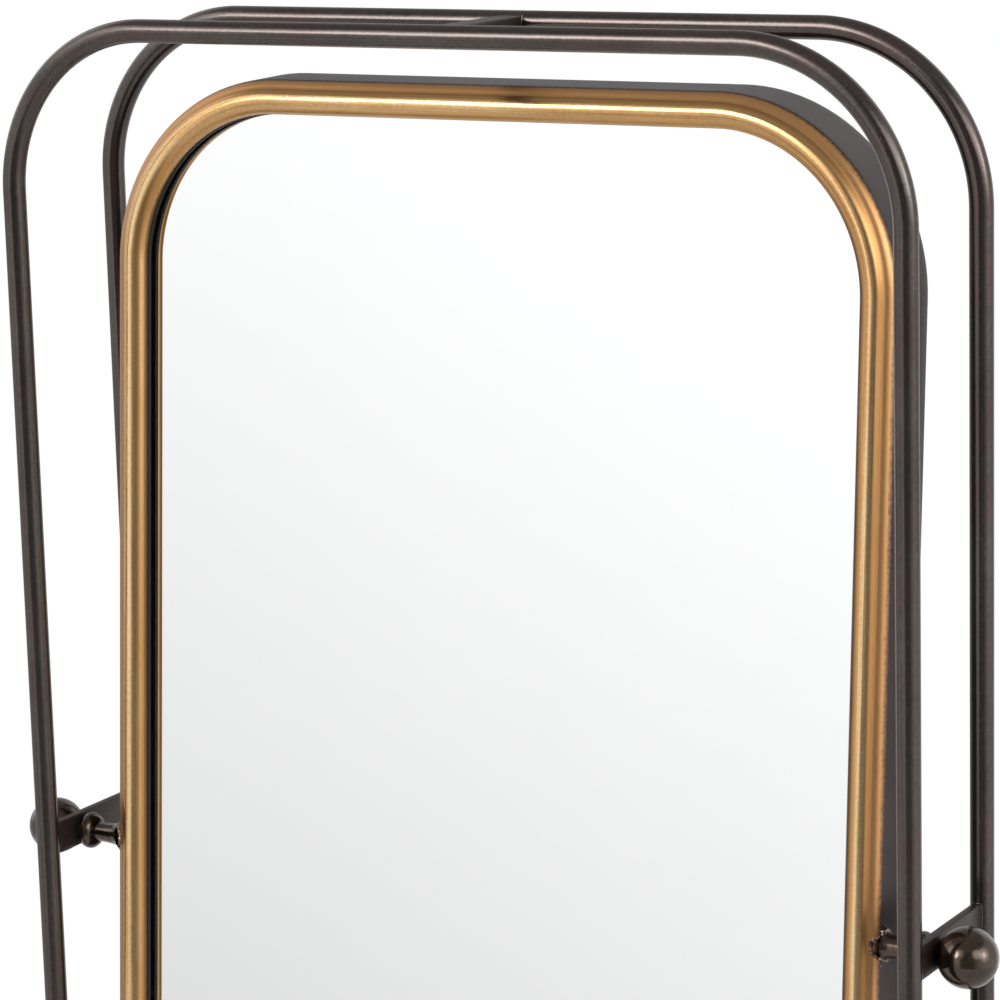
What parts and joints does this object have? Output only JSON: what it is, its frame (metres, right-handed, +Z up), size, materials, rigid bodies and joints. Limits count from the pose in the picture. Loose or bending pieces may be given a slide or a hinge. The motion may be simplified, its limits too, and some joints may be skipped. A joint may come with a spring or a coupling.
{
  "type": "cheval floor mirror",
  "caption": "Rounded-rectangle mirror in a deep brass-beaded frame, tilting on clamped ball-knob pivots between two parallel bent-tube hoops on runner feet.",
  "frame": {"origin": "on the floor under the middle of the stand", "axes": "+Z up, +X to the right seen from the front, -Y towards the side the glass faces"},
  "size_m": [0.7596, 0.43, 1.6],
  "materials": {
    "bronze_finish": "dark bronze burnished lacquer on steel, satin, faint drawn streaks",
    "bronze_hardware": "darker bronze, glossier",
    "antique_brass": "antique brass, brushed lengthwise, brown patina on the flanks",
    "black_paint": "black paint",
    "mirror": "silvered flat glass",
    "fibreboard": "hardboard",
    "black_board": "black-faced hardboard",
    "softwood": "planed softwood",
    "zinc_steel": "zinc-plated steel",
    "nylon": "natural nylon",
    "rubber": "black rubber"
  },
  "bodies": {
    "stand": {"front_hoop": "bronze_finish", "rear_hoop": "bronze_finish", "top_strap": "bronze_finish", "lower_strap": "bronze_finish", "front_lower_rail": "bronze_finish", "rear_lower_rail": "bronze_finish", "left_pivot_bar": "bronze_finish", "right_pivot_bar": "bronze_finish", "left_runner_foot": "bronze_finish", "right_runner_foot": "bronze_finish", "left_front_glide": "rubber", "left_front_leg_plug": "zinc_steel", "left_front_leg_bolt": "zinc_steel", "left_rear_glide": "rubber", "left_rear_leg_plug": "zinc_steel", "left_rear_leg_bolt": "zinc_steel", "right_front_glide": "rubber", "right_front_leg_plug": "zinc_steel", "right_front_leg_bolt": "zinc_steel", "right_rear_glide": "rubber", "right_rear_leg_plug": "zinc_steel", "right_rear_leg_bolt": "zinc_steel"},
    "mirror": {"frame_casing": "bronze_finish", "brass_bead": "antique_brass", "glass_rebate": "black_paint", "mirror_glass": "mirror", "glass_backer": "fibreboard", "back_panel": "black_board", "upper_left_bracket": "zinc_steel", "lower_left_bracket": "zinc_steel", "upper_right_bracket": "zinc_steel", "lower_right_bracket": "zinc_steel", "top_bracket": "zinc_steel", "bottom_bracket": "zinc_steel", "upper_left_screw": "zinc_steel", "lower_left_screw": "zinc_steel", "upper_right_screw": "zinc_steel", "lower_right_screw": "zinc_steel", "top_screw": "zinc_steel", "bottom_screw": "zinc_steel", "upper_batten": "softwood", "middle_batten": "softwood", "lower_batten": "softwood", "left_pivot_bolt": "zinc_steel", "left_pivot_stem": "bronze_hardware", "left_collar": "bronze_hardware", "left_friction_washer": "nylon", "right_pivot_bolt": "zinc_steel", "right_pivot_stem": "bronze_hardware", "right_collar": "bronze_hardware", "right_friction_washer": "nylon"},
    "left_knob": {"left_ball_knob": "bronze_hardware"},
    "right_knob": {"right_ball_knob": "bronze_hardware"}
  },
  "joints": [
    {"name": "mirror_tilt", "type": "hinge", "parent": "stand", "child": "mirror", "pos_m": [0, -0.018, 1.0064], "axis": [1, 0, 0], "range_deg": [-25.47, 24.53]},
    {"name": "left_knob_turn", "type": "hinge", "parent": "mirror", "child": "left_knob", "pos_m": [-0.3596, -0.018, 1.0064], "axis": [-1, 0, 0], "range_deg": [0, 360]},
    {"name": "right_knob_turn", "type": "hinge", "parent": "mirror", "child": "right_knob", "pos_m": [0.3596, -0.018, 1.0064], "axis": [1, 0, 0], "range_deg": [0, 360]}
  ]
}
